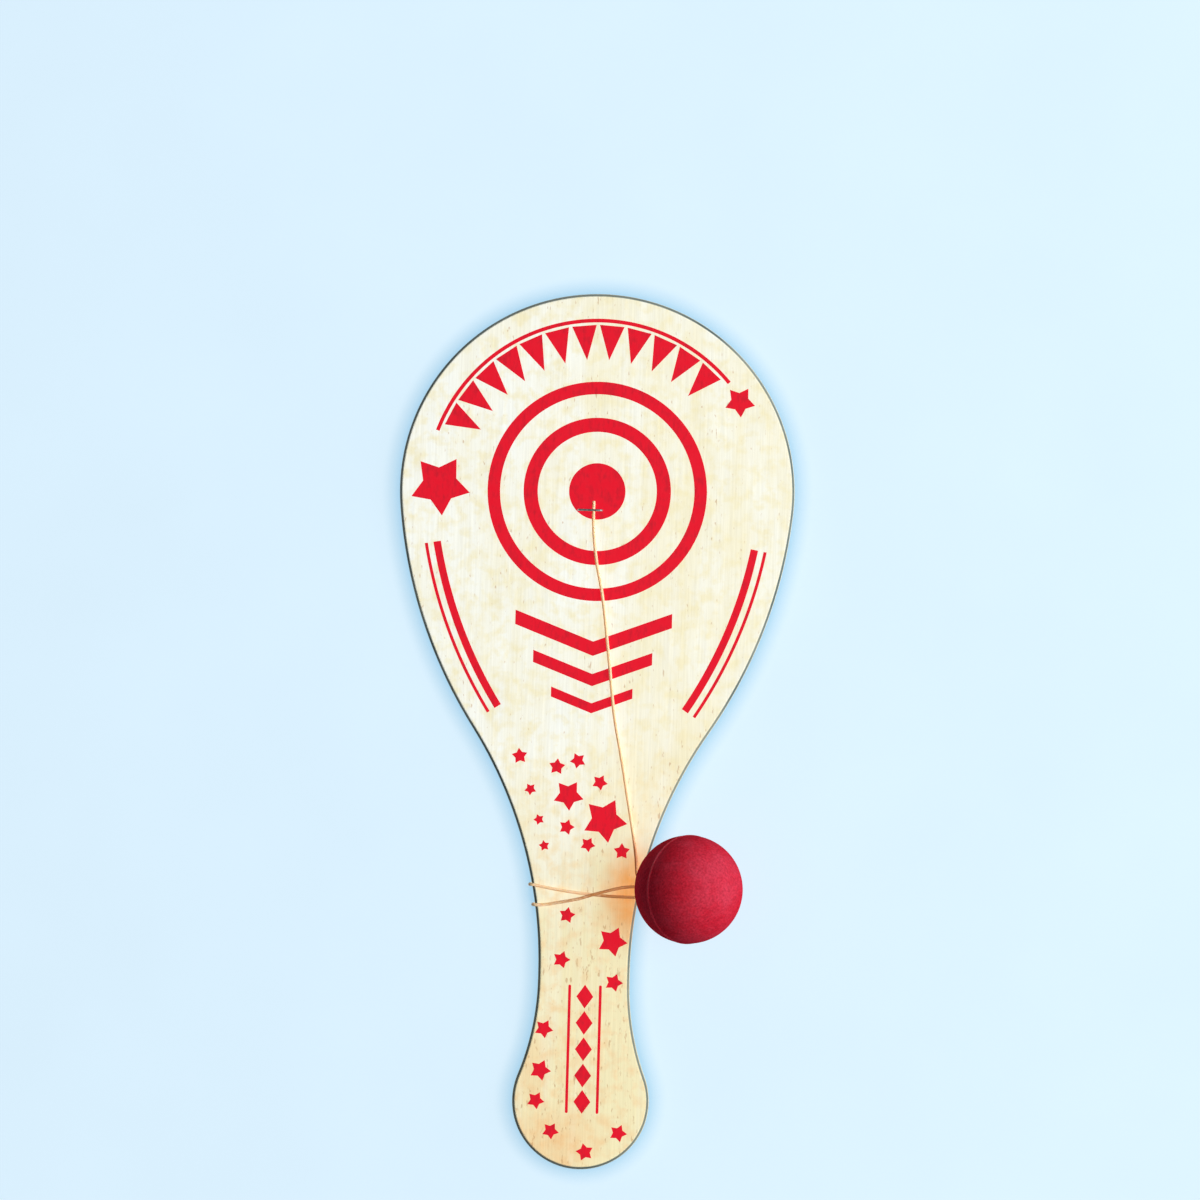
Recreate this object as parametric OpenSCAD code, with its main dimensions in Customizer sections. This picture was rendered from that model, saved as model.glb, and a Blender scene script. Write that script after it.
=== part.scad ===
// Paddle ball game: a plywood paddle with a rubber ball on an elastic thread.
// It lies flat on its back, with the elastic wound round the neck for storage.
// Millimetres. The origin is under the middle of the paddle, on the surface it lies on,
// with +Y towards the top of the blade and +Z out of its front face.

/* [Paddle outline] */
// Length from the top of the blade to the foot of the handle
paddle_len = 279.4; // [270:0.2:300]
// Radius of the round end of the blade
head_r = 63; // [58:0.5:66]
// Radius of the long curve down each side of the blade
side_r = 154; // [146:1:170]
// Angle below the widest point of the blade where the long curve starts, in degrees
side_start = 5.6; // [2:0.2:8]
// Width of the neck where it is narrowest
neck_w = 29.2; // [27:0.2:31]
// Height of the foot of the neck above the foot of the handle
neck_foot = 60.4; // [56:0.2:64]
// Length of the straight part of the neck
neck_len = 2.6; // [1:0.2:6]
// Radius of the knob at the foot of the handle
knob_r = 21.8; // [20:0.2:24]

/* [Plywood] */
// Thickness of each face ply
face_ply_t = 1.4; // [0.8:0.1:2]
// Thickness of the core ply
core_ply_t = 2; // [1:0.1:3]

/* [Elastic] */
// Diameter of the round rubber thread
elastic_d = 1; // [0.8:0.1:1.2]
// Gap between the thread and the wood it lies on
elastic_gap = 0.25; // [0.25:0.05:0.4]
// Radius of the thread's centre line round the edges of the neck
elastic_bend_r = 1.2; // [1.1:0.1:1.4]
// Height of the first turn of the winding above the foot of the handle
wind_start = 93.7; // [92:0.1:95]
// Drop of the winding from one edge of the neck to the other
wind_step = 3.2; // [2.8:0.1:3.6]
// Sag of the turn across the front, along the neck
wind_bow = 0.9; // [0:0.1:1.2]

/* [Ball] */
// Diameter of the ball
ball_d = 34.4; // [32:0.2:38]
// Height of the ball's centre above the foot of the handle, along the paddle
ball_along = 90.7; // [90:0.1:91.5]
// Gap between the ball and the nearest turn of the winding
ball_gap = 0.35; // [0.3:0.05:0.6]
// Diameter of the knot that holds the thread inside the ball
knot_d = 2.8; // [2.2:0.1:3.6]
// Length of thread between the neck's last edge and the strand across its front
lead_len = 1.6; // [1.2:0.1:2]

/* [Staple] */
// Diameter of the staple's wire
wire_d = 0.7; // [0.6:0.05:0.9]
// Width of the staple over its legs
staple_w = 8; // [6.5:0.5:10]
// Height of the staple above the foot of the handle, along the paddle
staple_along = 210.4; // [204:0.2:214]
// Place of the staple's middle across the blade
staple_x = -2.1; // [-2.6:0.1:-1.2]
// Length of each clinched foot behind the paddle
foot_len = 2.4; // [1.4:0.1:2.6]
// Radius of the staple's bends, at the middle of the wire
wire_bend_r = 0.6; // [0.5:0.05:0.8]

/* [Hidden] */

// Play round each leg of the staple, the thread in the ball, and the knot in its pocket
leg_play = 0.05;
bore_play = 0.1;
knot_play = 0.3;
// Play between the staple's crown and the thread it holds down
crown_play = 0.06;
// Gap at each end of the strand where the elastic bends
hinge_gap = 0.3;
// Length of thread between its last bend and the part held in the ball
exit_gap = 0.65;
// Largest distance between the outline's facets and the true curve
outline_tol = 0.02;
// How far a cut runs past the wood
overrun = 0.5;
// Share of the thread's diameter that is flat where the paddle lies on it
flat_share = 0.1;
// Sides of the tubes, and steps in a bend and along a pass of the winding
cord_sides = 8;
wind_sides = 6;
wire_sides = 12;
bend_steps = 4;
pass_steps = 3;
route_steps = 3;
round_fn = 128;

// Levels of the layers, from the surface that the paddle lies on
elastic_r = elastic_d / 2;
seat = elastic_r + elastic_gap;
low_z = elastic_r - flat_share * elastic_d;
back_z = low_z + seat;
front_z = back_z + 2 * face_ply_t + core_ply_t;
over_z = front_z + seat;

// Centres and radii of the outline's curves, each tangent to the next
foot_y = -paddle_len / 2;
head_c = [0, paddle_len / 2 - head_r];
knob_c = [0, foot_y + knob_r];
side_c = head_c - (side_r - head_r) * [cos(side_start), -sin(side_start)];
neck_top_y = foot_y + neck_foot + neck_len;
neck_foot_y = foot_y + neck_foot;
shoulder_dx = neck_w / 2 - side_c.x;
shoulder_dy = side_c.y - neck_top_y;
shoulder_r = (pow(shoulder_dx, 2) + pow(shoulder_dy, 2) - pow(side_r, 2)) / (2 * (side_r - shoulder_dx));
shoulder_c = [neck_w / 2 + shoulder_r, neck_top_y];
grip_dy = neck_foot_y - knob_c.y;
grip_r = (pow(neck_w / 2, 2) + pow(grip_dy, 2) - pow(knob_r, 2)) / (2 * (knob_r - neck_w / 2));
grip_c = [neck_w / 2 + grip_r, neck_foot_y];

// Angle of the line from one point of the outline to another
function bearing(from, to) = atan2(to.y - from.y, to.x - from.x);
// Points of an arc, close enough together to keep to the outline's tolerance
function arc(c, r, a0, a1, first = 1) =
    let (n = ceil(abs(a1 - a0) / (2 * acos(1 - outline_tol / r))))
    [for (i = [first:n]) c + r * [cos(a0 + (a1 - a0) * i / n), sin(a0 + (a1 - a0) * i / n)]];
right_side = concat(
    arc(head_c, head_r, 90, -side_start, 0),
    arc(side_c, side_r, -side_start, bearing(side_c, shoulder_c)),
    arc(shoulder_c, shoulder_r, 180 + bearing(side_c, shoulder_c), 180),
    arc(grip_c, grip_r, 180, 360 + bearing(grip_c, knob_c), 0),
    arc(knob_c, knob_r, bearing(knob_c, grip_c), -90));
outline = concat(right_side, [for (i = [len(right_side) - 2:-1:1]) [-right_side[i].x, right_side[i].y]]);

// Half the width of the neck and shoulder at height y
function neck_edge(y) =
    shoulder_c.x - sqrt(pow(shoulder_r, 2) - pow(max(y - shoulder_c.y, 0), 2));

// Turns of the winding: each edge is turned one step lower than the last
corner_in = elastic_bend_r - seat;
function wind_y(k) = foot_y + wind_start - k * wind_step;
function bend(x, y, z, a0, a1) =
    [for (i = [0:bend_steps]) let (a = a0 + (a1 - a0) * i / bend_steps)
        [x + elastic_bend_r * cos(a), y, z + elastic_bend_r * sin(a)]];
function right_turn(y) = let (x = neck_edge(y) - corner_in)
    concat(bend(x, y, front_z - corner_in, 90, 0), bend(x, y, back_z + corner_in, 0, -90));
function left_turn(y) = let (x = corner_in - neck_edge(y))
    concat(bend(x, y, back_z + corner_in, -90, -180), bend(x, y, front_z - corner_in, 180, 90));
function pass(from, to, bow = 0) =
    [for (i = [1:pass_steps - 1]) let (s = i / pass_steps)
        from + (to - from) * s - [0, 4 * bow * s * (1 - s), 0]];
turns = [right_turn(wind_y(0)), left_turn(wind_y(1)), right_turn(wind_y(2)), left_turn(wind_y(3))];
function last(list) = list[len(list) - 1];
wind_from = turns[0][0] - [elastic_d, 0, 0];
wind_to = last(turns[3]) + [elastic_d, 0, 0];
winding = concat([wind_from], turns[0], pass(last(turns[0]), turns[1][0]),
    turns[1], pass(last(turns[1]), turns[2][0], wind_bow),
    turns[2], pass(last(turns[2]), turns[3][0]), turns[3], [wind_to]);

// Ball, beside the neck on the surface, clear of the first turn
ball_r = ball_d / 2;
ball_y = foot_y + ball_along;
turn_reach = sqrt(pow(ball_r, 2) - pow(wind_y(0) - ball_y, 2)) + elastic_bend_r + elastic_r + ball_gap;
turn_rise = ball_r - front_z + corner_in;
ball_c = [neck_edge(wind_y(0)) - corner_in + sqrt(pow(turn_reach, 2) - pow(turn_rise, 2)), ball_y, ball_r];
// Last bend of the elastic, where it leaves the neck for the ball
exit_p = [neck_edge(ball_y), ball_y, over_z];
exit_span = norm(ball_c - exit_p);
exit_angle = atan2(ball_c.z - exit_p.z, ball_c.x - exit_p.x);

// Route of the elastic down the front of the blade, as [x, y], from its free end past the staple
face_route = [[-1, 73.6], [-1, 70], [-0.9, 66], [-0.4, 60], [0.6, 53], [2.2, 45.5], [3.5, 37], [4.6, 28],
    [5.6, 20], [6.5, 12], [7.6, 4], [9.2, -4], [10.8, -12], [12.2, -20], [13.7, -28], [14.9, -35],
    [15.6, -40], [15.8, -42.8], [15.95, -44.6], [16.25, -45.6]];
// Route of the strand over the front turn, as [x, y, height above lying flat]
strand_route = [[-12, -55.3, 0.1], [-9.5, -54.8, 0.5], [-7, -54.3, 0.95], [-4.5, -53.8, 1.3],
    [-2, -53.2, 1.5], [0.5, -52.4, 1.55], [3, -51.6, 1.5], [5.5, -50.9, 1.25], [8, -50.2, 0.85],
    [10.5, -49.6, 0.4], [12.8, -49.2, 0.1]];
strand_from = wind_to + [hinge_gap, 0, 0];
strand_to = exit_p - [lead_len, 0, 0];

// Smooth curve through a route's points, with even steps between them
function curve_at(a, b, c, d, t) = (2 * b + (c - a) * t + (2 * a - 5 * b + 4 * c - d) * t * t
    + (3 * b - a - 3 * c + d) * t * t * t) / 2;
function smooth(p, steps) = concat(
    [for (i = [0:len(p) - 2], k = [0:steps - 1])
        curve_at(p[max(i - 1, 0)], p[i], p[i + 1], p[min(i + 2, len(p) - 1)], k / steps)],
    [last(p)]);
face_run = smooth(concat([for (p = face_route) [p.x, p.y, over_z]], [wind_from]), route_steps);
strand = concat([strand_from], [for (p = strand_route) [p.x, p.y, over_z + p.z]], [strand_to]);

// Staple: foot, leg, crown, leg and foot, along one line of bends
leg_x = (staple_w - wire_d) / 2;
staple_y = foot_y + staple_along;
crown_z = over_z + elastic_r + crown_play + wire_d / 2;
function wire_bend(x, z, a0, a1) =
    [for (i = [0:bend_steps]) let (a = a0 + (a1 - a0) * i / bend_steps)
        [staple_x + x + wire_bend_r * cos(a), staple_y, z + wire_bend_r * sin(a)]];
leg_in = leg_x - wire_bend_r;
foot_z = wire_d / 2;
staple_line = concat(
    [[staple_x - leg_x + foot_len, staple_y, foot_z]],
    wire_bend(-leg_in, foot_z + wire_bend_r, -90, -180),
    wire_bend(-leg_in, crown_z - wire_bend_r, 180, 90),
    wire_bend(leg_in, crown_z - wire_bend_r, 90, 0),
    wire_bend(leg_in, foot_z + wire_bend_r, 0, -90),
    [[staple_x + leg_x - foot_len, staple_y, foot_z]]);

// Least gap of the wound elastic to itself, along its route and past its own neighbours
function to_segment(p, a, b) = let (t = max(0, min(1, (p - a) * (b - a) / ((b - a) * (b - a)))))
    norm(p - a - t * (b - a));
wound = concat(winding, strand);
loop_points = len(turns[0]) + pass_steps;
least_gap = min([for (i = [0:len(wound) - 1], k = [0:len(wound) - 2])
    if (abs(i - k) > loop_points) to_segment(wound[i], wound[k], wound[k + 1])]) - elastic_d;
echo(least_gap_of_winding_mm = least_gap);
echo(ball_centre_mm = ball_c, exit_mm = exit_p, exit_angle_deg = exit_angle, exit_span_mm = exit_span);
echo(strand_hinge_mm = [strand_from.x - hinge_gap / 2, strand_from.y, over_z + elastic_r]);
echo(levels_mm = [back_z, front_z, over_z], winding_ends_mm = [wind_from, wind_to]);

// Tube of flat-sided rings along a line of points, closed at both ends and never below the surface
function unit(v) = v / norm(v);
module tube(line, r, sides, up) {
    n = len(line);
    rings = [for (i = [0:n - 1])
        let (t = unit(line[min(i + 1, n - 1)] - line[max(i - 1, 0)]), u = unit(cross(up, t)), v = cross(t, u))
        for (k = [0:sides - 1])
            let (a = 360 * (k + 0.5) / sides, q = line[i] + r * (cos(a) * u + sin(a) * v))
            [q.x, q.y, max(q.z, 0)]];
    walls = [for (i = [0:n - 2], k = [0:sides - 1])
        let (a = i * sides + k, b = i * sides + (k + 1) % sides)
        each [[a, a + sides, b], [b, a + sides, b + sides]]];
    caps = [for (k = [1:sides - 2])
        each [[0, k, k + 1], [n * sides - 1, n * sides - 1 - k, n * sides - 2 - k]]];
    polyhedron(rings, concat(walls, caps));
}

// Holes that the staple's legs were driven through
module leg_holes() {
    for (side = [-1, 1])
        translate([staple_x + side * leg_x, staple_y, back_z - overrun])
            cylinder(d = wire_d + 2 * leg_play, h = front_z - back_z + 2 * overrun, $fn = round_fn / 4);
}

module ply(level, t) {
    difference() {
        translate([0, 0, level]) linear_extrude(t) polygon(outline);
        leg_holes();
    }
}

module front_ply() {
    color("cornsilk") ply(front_z - face_ply_t, face_ply_t);
}

module core_ply() {
    color("tan") ply(back_z + face_ply_t, core_ply_t);
}

module back_ply() {
    color("cornsilk") ply(back_z, face_ply_t);
}

module staple() {
    color("silver") tube(staple_line, wire_d / 2, wire_sides, [0, 1, 0]);
}

module elastic_face_run() {
    color("wheat") tube(face_run, elastic_r, cord_sides, [0, 0, 1]);
}

module elastic_winding() {
    color("wheat") tube(winding, elastic_r, wind_sides, [0, 1, 0]);
}

module elastic_strand() {
    color("wheat") tube(strand, elastic_r, cord_sides, [0, 0, 1]);
}

module elastic_lead() {
    color("wheat") tube([strand_to, (strand_to + exit_p) / 2, exit_p - [hinge_gap, 0, 0]],
        elastic_r, cord_sides, [0, 0, 1]);
}

// Moves a piece that points up to the last bend, pointing at the ball's centre
module towards_ball() {
    translate(exit_p) rotate([0, 90 - exit_angle, 0]) children();
}

module elastic_knotted_end() {
    color("wheat") towards_ball() union() {
        translate([0, 0, exit_gap]) cylinder(d = elastic_d, h = exit_span - exit_gap, $fn = round_fn / 4);
        translate([0, 0, exit_span]) sphere(d = knot_d, $fn = round_fn / 2);
    }
}

module ball() {
    color("firebrick") towards_ball() difference() {
        translate([0, 0, exit_span]) sphere(d = ball_d, $fn = round_fn);
        cylinder(d = elastic_d + 2 * bore_play, h = exit_span, $fn = round_fn / 4);
        translate([0, 0, exit_span]) sphere(d = knot_d + 2 * knot_play, $fn = round_fn / 2);
    }
}

front_ply();
core_ply();
back_ply();
staple();
elastic_face_run();
elastic_winding();
elastic_strand();
elastic_lead();
elastic_knotted_end();
ball();
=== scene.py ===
"""Paddle ball game: a plywood paddle with a rubber ball on an elastic thread, wound up for storage.

Metres throughout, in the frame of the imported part: the game lies on its back on z = 0, with +Y
towards the top of the blade and +Z out of its printed face.
"""
import math

import bpy
from bpy.props import FloatProperty, FloatVectorProperty, PointerProperty
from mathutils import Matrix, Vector


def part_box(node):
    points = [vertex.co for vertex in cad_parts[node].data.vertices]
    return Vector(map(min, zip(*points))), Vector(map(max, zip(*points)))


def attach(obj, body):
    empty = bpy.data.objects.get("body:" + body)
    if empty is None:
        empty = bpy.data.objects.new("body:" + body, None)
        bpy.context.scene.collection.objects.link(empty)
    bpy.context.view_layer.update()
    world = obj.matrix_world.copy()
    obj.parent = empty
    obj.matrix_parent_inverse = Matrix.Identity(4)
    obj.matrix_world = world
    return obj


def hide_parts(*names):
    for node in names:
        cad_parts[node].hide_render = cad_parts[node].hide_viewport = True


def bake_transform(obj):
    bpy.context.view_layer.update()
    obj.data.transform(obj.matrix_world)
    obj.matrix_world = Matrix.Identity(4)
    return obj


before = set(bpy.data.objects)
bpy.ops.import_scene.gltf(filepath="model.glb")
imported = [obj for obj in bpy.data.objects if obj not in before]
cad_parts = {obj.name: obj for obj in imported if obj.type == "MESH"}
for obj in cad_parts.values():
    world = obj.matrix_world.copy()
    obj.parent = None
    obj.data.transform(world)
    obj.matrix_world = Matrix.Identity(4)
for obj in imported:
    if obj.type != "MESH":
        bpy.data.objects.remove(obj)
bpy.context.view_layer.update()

bl_info = {
    "name": "Paddle ball game",
    "version": (1, 0, 0),
    "blender": (4, 5, 0),
    "location": "View3D > Sidebar > Paddle ball",
    "description": "Models a plywood paddle with a rubber ball on an elastic thread",
    "category": "Object",
}

MM = 0.001

# How close points lie that count as one place, and how close doubles lie that are merged
TOUCH = 0.01 * MM
DOUBLE = 0.002 * MM

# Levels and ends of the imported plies
BACK_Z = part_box("back_ply")[0].z
CORE_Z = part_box("core_ply")[0].z
FACE_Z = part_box("front_ply")[0].z
FRONT_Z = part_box("front_ply")[1].z
PADDLE_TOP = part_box("front_ply")[1].y
PADDLE_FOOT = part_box("front_ply")[0].y

# The ball, the last bend of the thread beside it, and the way towards the key light, where a highlight
# is painted on the ball
BALL_AT = (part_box("ball")[0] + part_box("ball")[1]) / 2
BALL_R = (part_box("ball")[1].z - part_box("ball")[0].z) / 2
EXIT_AT = Vector((17.3666, -49.0, 6.7)) * MM
TO_BALL = (BALL_AT - EXIT_AT).normalized()
HIGHLIGHT_TOWARDS = Vector((0.58, 0.28, 0.77)).normalized()

# Gap between the thread and the wood, and radius of its bends round the neck, as in the source
THREAD_GAP = 0.25 * MM
THREAD_BEND = 1.2 * MM

# Route of the thread down the blade from its free end, and of the strand over the front turn.
# Millimetres, as in the part's source: x, y, and for the strand its height above lying flat.
FACE_ROUTE = [
    (-1, 73.6), (-1, 70), (-0.9, 66), (-0.4, 60), (0.6, 53), (2.2, 45.5), (3.5, 37), (4.6, 28),
    (5.6, 20), (6.5, 12), (7.6, 4), (9.2, -4), (10.8, -12), (12.2, -20), (13.7, -28), (14.9, -35),
    (15.6, -40), (15.8, -42.8), (15.95, -44.6), (16.25, -45.6),
]
STRAND_ROUTE = [
    (-12, -55.3, 0.1), (-9.5, -54.8, 0.5), (-7, -54.3, 0.95), (-4.5, -53.8, 1.3),
    (-2, -53.2, 1.5), (0.5, -52.4, 1.55), (3, -51.6, 1.5), (5.5, -50.9, 1.25), (8, -50.2, 0.85),
    (10.5, -49.6, 0.4), (12.8, -49.2, 0.1),
]

# Heights in millimetres at which the winding goes over the edges of the neck, right and left in
# turn, and the sag of its pass across the front
TURN_HEIGHTS = (-46.0, -49.2, -52.4, -55.6)
FRONT_BOW = 0.9 * MM

# Strand: how far past the winding it starts, its last two points before the last bend, how far the
# bend reaches towards the ball, and the point of its line where the fold goes over into it
STRAND_START = 0.3 * MM
LEAD_START = 1.6 * MM
LEAD_END = 0.6 * MM
BEND_REACH = 0.65 * MM
FOLD_END = 9

# Steps from point to point of a route, in a bend round an edge, and in a pass from edge to edge
ROUTE_STEPS = 6
BEND_STEPS = 8
PASS_STEPS = 9

# Place in millimetres beside the ball where the thread is painted darker, a painted shadow of the
# ball, and how far its darkest part reaches
BALL_SHADE_AT = (14, -47)
BALL_SHADE_REACH = 8 * MM

# Printed stars: x, y, radius over the tips, and turn from upright in degrees, counterclockwise
STARS = [
    (-22.4, -8.3, 2.6, 7), (-10.4, -11.4, 2.7, -5), (-3.8, -9.3, 2.6, 26), (-18.7, -18.8, 2.0, 33),
    (-6.5, -20.4, 5.0, -32), (3.4, -16.1, 2.6, -27), (5.3, -28.1, 7.3, -26), (-15.7, -28.4, 1.8, 22),
    (-6.8, -30.6, 2.6, -17), (-13.8, -36.7, 1.8, 12), (0.1, -36.0, 2.5, -28), (11.0, -37.9, 2.7, 0),
    (-5.9, -58.7, 2.7, -11), (8.8, -66.7, 4.9, -23), (-7.3, -72.9, 2.9, -18), (9.6, -79.8, 3.0, -20),
    (-12.3, -95.1, 3.1, -28), (-13.1, -108.3, 3.5, -23), (-14.3, -118.0, 2.9, -27),
    (-9.3, -127.6, 2.8, -30), (12.3, -127.8, 2.9, -22), (1.8, -134.1, 2.9, 13),
    (-50.2, 77.4, 9.8, -31), (44.7, 106.5, 5.0, -31),
]

# Target: outer and inner radius of each ring, in millimetres
RINGS = [(35, 31), (23.5, 19), (9, 0)]

# Chevrons: height of the point, half the width, rise to the ends, and thickness
CHEVRONS = [(26.5, 25, 9.5, 4.6), (16.5, 19, 7.2, 3.9), (7.5, 13, 5.0, 3.2)]

# Side stripes: distance from the paddle's edge to each stripe's inner and outer side
SIDE_STRIPES = [(11.6, 9.2), (7.4, 6.4)]

# Stained and shaded places: middle x and y, half the width and height, and how deep the tint is.
# The first is a painted shadow of the ball, with its red bounce light, on the neck beside the wound
# thread and the ball; the others are stains where a hand closes round the handle.
STAINS_AND_BALL_SHADE = [(15, -52, 13, 21, 1.0), (-9, -131, 22, 16, 0.34), (-16, -108, 8, 18, 0.26)]

# Camera and lights: middle of the view on the paddle's face and width of the camera's sensor, in
# millimetres, place of the key light, in metres, and colour of the light from all round
VIEW_MIDDLE = (1.83, 42.1)
SENSOR = 36.0
KEY_AT = (3.35, 0.35, 2.9)
SKY = (0.97, 0.985, 1.0, 1.0)

# Range in which nearly all values of a noise texture lie
NOISE_RANGE = {"From Min": 0.3, "From Max": 0.7}

# A Mix node's two colours, whose names other kinds of its inputs share
UNDER = 6
OVER = 7


def tint(code):
    """Linear colour with alpha from an sRGB hex value."""
    parts = [int(code[i:i + 2], 16) / 255 for i in (1, 3, 5)]
    return tuple(c / 12.92 if c <= 0.04045 else ((c + 0.055) / 1.055) ** 2.4 for c in parts) + (1.0,)


def length(name, description, default):
    """Length setting, given in millimetres."""
    return FloatProperty(name=name, description=description, default=default * MM, min=0.0,
                         unit="LENGTH", precision=5)


def turn(name, description, default):
    """Angle setting, given in degrees."""
    return FloatProperty(name=name, description=description, default=math.radians(default),
                         subtype="ANGLE")


def fraction(name, description, default, low=0.0, high=1.0):
    """Setting that is a share of something else."""
    return FloatProperty(name=name, description=description, default=default, min=low, max=high,
                         subtype="FACTOR")


def colour(name, description, default):
    """Colour setting, given as an sRGB hex value."""
    return FloatVectorProperty(name=name, description=description, default=tint(default), size=4,
                               min=0.0, max=1.0, subtype="COLOR")


class PaddleSettings(bpy.types.PropertyGroup):
    """Outline, edges and veneer of the paddle."""
    head_radius: length("Head radius", "Radius of the round end of the blade", 63)
    side_radius: length("Side radius", "Radius of the long curve down each side", 154)
    side_start: turn("Side start", "Angle below the widest point where the long curve starts", 5.6)
    neck_width: length("Neck width", "Width of the neck where it is narrowest", 29.2)
    neck_foot: length("Neck foot", "Height of the foot of the neck above the foot of the handle", 60.4)
    neck_length: length("Neck length", "Length of the straight part of the neck", 2.6)
    knob_radius: length("Knob radius", "Radius of the knob at the foot of the handle", 21.8)
    face_round: length("Edge rounding", "Sanded rounding of the outer edges", 1.1)
    glue_round: length("Glue line", "Rounding on both sides of each glue line", 0.07)
    facet: length("Facet", "Largest distance between the outline's facets and the curve", 0.01)
    veneer: colour("Veneer", "Pale face veneer of the blade", "#F2F4EC")
    veneer_warm: colour("Warm veneer", "Yellower veneer towards the handle", "#ECE2B6")
    # Orange tint of the stains, of the mottle towards the handle, and of the painted shadow of the
    # ball on the neck
    stain_and_shade: colour("Handling stain", "Orange tint where it is handled", "#ECA455")
    fleck: colour("Fleck", "Brown flecks and pores", "#B98C5C")
    core: colour("Core", "Core veneer, seen at the edge", "#D8B883")
    # Painted shade: the dark grey painted along the rounded rim of the plies
    rim_shade: colour("Grime", "Grey grime on the sanded rim", "#4B5A58")


class PrintSettings(bpy.types.PropertyGroup):
    """Red screen print on the paddle's face."""
    film: length("Film", "Height of the ink above the wood", 0.035)
    soak: length("Soak", "Depth that the ink reaches into the wood", 0.02)
    star_inner: fraction("Star inner share", "Inner radius of a star as a share of its outer one",
                         0.57, low=0.2, high=0.8)
    ink: colour("Ink", "Red printing ink", "#DF0D27")
    ink_dark: colour("Dark ink", "Ink where it lies thick or on dark grain", "#B70D24")


class ThreadSettings(bpy.types.PropertyGroup):
    """Elastic thread."""
    thickness: length("Thickness", "Diameter of the round rubber thread", 1.0)
    latex: colour("Latex", "Natural latex", "#B17945")
    latex_dusty: colour("Dusty latex", "Latex under its powder", "#E6C39D")


class StapleSettings(bpy.types.PropertyGroup):
    """Staple that holds the thread."""
    wire: length("Wire", "Thickness of the wire", 0.7)
    width: length("Width", "Width over the legs", 8.0)
    middle_x: length("Middle", "Distance of its middle from the paddle's centre line", 2.1)
    height: length("Height", "Place along the blade", 70.7)
    foot: length("Foot", "Length of each clinched foot", 2.4)
    bend: length("Bend", "Radius of its bends, at the middle of the wire", 0.6)
    steel: colour("Steel", "Galvanised steel wire", "#B9BCC0")


class BallSettings(bpy.types.PropertyGroup):
    """Rubber ball."""
    seam_width: length("Seam width", "Width of the ridge that the mould leaves", 0.9)
    seam_height: length("Seam height", "Height of the ridge", 0.16)
    seam_lean: turn("Seam lean", "Angle between the seam's plane and the surface", 40.5)
    bore: length("Bore", "Diameter of the hole for the thread", 1.2)
    pocket: length("Pocket", "Diameter of the hollow for the knot", 3.4)
    rubber: colour("Rubber", "Crimson rubber", "#AF1D2E")
    # Paler colour of the bloom patches and of the painted highlight
    bloom_and_highlight_colour: colour("Bloom", "Paler bloom on the rubber", "#B23244")
    # Paler colour of the trimmed seam, and of the highlight painted along it
    trimmed_and_highlighted: colour("Trimmed seam", "Rubber where the flash was trimmed off", "#D05C66")


class StageSettings(bpy.types.PropertyGroup):
    """Backdrop, lights and camera."""
    floor: colour("Floor", "Pale blue light table", "#D9EFFD")
    # Colour of the painted contact shadow on the table
    shade: colour("Shade", "Deeper blue of the table close to what lies on it", "#A8D2EC")
    shade_reach: length("Shade reach", "How far the shade spreads over the table", 6.5)
    glow: fraction("Glow", "Share of the table's brightness that comes through it from below", 0.62)
    reach: length("Reach", "Half the width of the backdrop", 4000)
    key_power: FloatProperty(name="Key", description="Power of the large light on the right",
                             default=335.0, unit="POWER")
    key_size: length("Key size", "Width of the large light", 2800)
    shadow: fraction("Shadow", "Share of the key light that casts shadows", 0.12)
    fill: FloatProperty(name="Fill", description="Brightness of the light from all round",
                        default=0.11, min=0.0)
    view_width: length("View width", "Width of the camera's view at the paddle's face", 382.8)
    distance: length("Distance", "Height of the camera above the face", 2400)
    tilt: turn("Tilt", "Turn of the camera about its own axis", 1.59)


SETTINGS = {
    "pb_paddle": PaddleSettings,
    "pb_print": PrintSettings,
    "pb_thread": ThreadSettings,
    "pb_staple": StapleSettings,
    "pb_ball": BallSettings,
    "pb_stage": StageSettings,
}


# Selecting, shaping and joining

def fresh():
    """Object mode with nothing selected."""
    if bpy.context.mode != "OBJECT":
        bpy.ops.object.mode_set(mode="OBJECT")
    bpy.ops.object.select_all(action="DESELECT")


def only(part):
    """Object mode with only this part selected, and active."""
    fresh()
    part.select_set(True)
    bpy.context.view_layer.objects.active = part


def pick(part, kind, test):
    """Edit mode with only the points, edges or faces selected that pass the test.
    A test is given a point's place, an edge's two ends, or a face's middle and normal."""
    only(part)
    bpy.context.tool_settings.mesh_select_mode = [kind == k for k in ("VERT", "EDGE", "FACE")]
    mesh = part.data
    for group in (mesh.vertices, mesh.edges, mesh.polygons):
        group.foreach_set("select", [False] * len(group))
    places = [v.co for v in mesh.vertices]
    if kind == "VERT":
        for v in mesh.vertices:
            v.select = test(v.co)
    elif kind == "EDGE":
        for e in mesh.edges:
            e.select = test(*(places[i] for i in e.vertices))
    else:
        for f in mesh.polygons:
            f.select = test(f.center, f.normal)
    bpy.ops.object.mode_set(mode="EDIT")


def pick_all(part, kind="FACE"):
    """Edit mode with all points, edges or faces selected."""
    pick(part, kind, lambda *place: True)


def push(x, y, z):
    """Extrudes what is selected that far."""
    bpy.ops.mesh.extrude_region_move(TRANSFORM_OT_translate={"value": (x, y, z)})


def settle(part):
    """Moves the part's place, turn and size into its mesh."""
    only(part)
    bpy.ops.object.transform_apply(location=True, rotation=True, scale=True)
    return part


def outward(part):
    """Merges doubles and turns every face outwards."""
    pick_all(part)
    bpy.ops.mesh.select_all(action="SELECT")
    bpy.ops.mesh.remove_doubles(threshold=DOUBLE)
    bpy.ops.mesh.normals_make_consistent(inside=False)
    fresh()
    return part


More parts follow.
